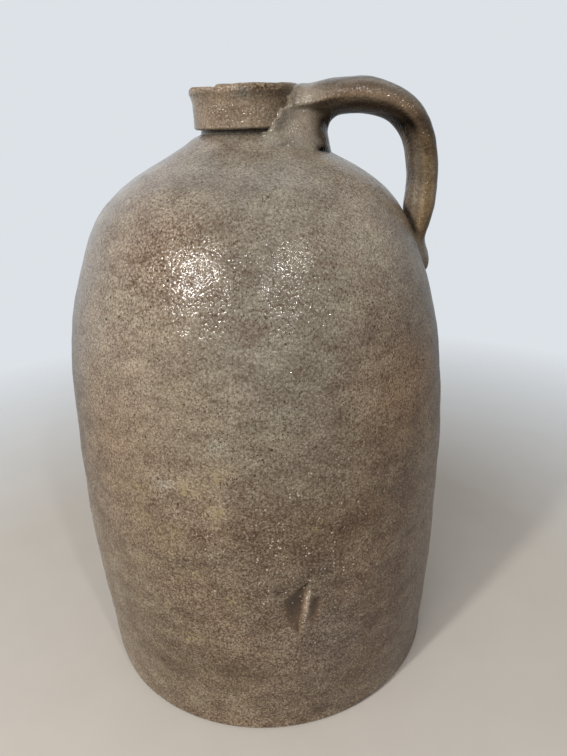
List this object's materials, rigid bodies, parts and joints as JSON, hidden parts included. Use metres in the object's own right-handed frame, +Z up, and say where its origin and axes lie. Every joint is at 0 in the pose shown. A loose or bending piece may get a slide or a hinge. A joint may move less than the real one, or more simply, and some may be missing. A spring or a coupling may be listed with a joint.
{
  "type": "stoneware jug",
  "caption": "Free-standing salt-glazed stoneware jug with a domed shoulder, a narrow collared mouth for a stopper and a strap handle from collar to shoulder.",
  "frame": {"origin": "centre of the base, on the surface the jug stands on", "axes": "+Z up along the jug's turning axis, +X towards the handle, +Y away from the side that faces the camera"},
  "size_m": [0.22, 0.22, 0.3414],
  "materials": {
    "body_glaze": "salt-glazed grey-brown stoneware with an orange-peel surface",
    "collar_glaze": "salt-glazed warm brown stoneware",
    "handle_glaze": "salt-glazed brown stoneware, lighter along its edges"
  },
  "bodies": {
    "root": {"lower_body": "body_glaze", "upper_body": "body_glaze", "neck_collar": "collar_glaze", "handle_strap": "handle_glaze", "handle_wad": "handle_glaze", "handle_pad": "handle_glaze"}
  },
  "joints": []
}
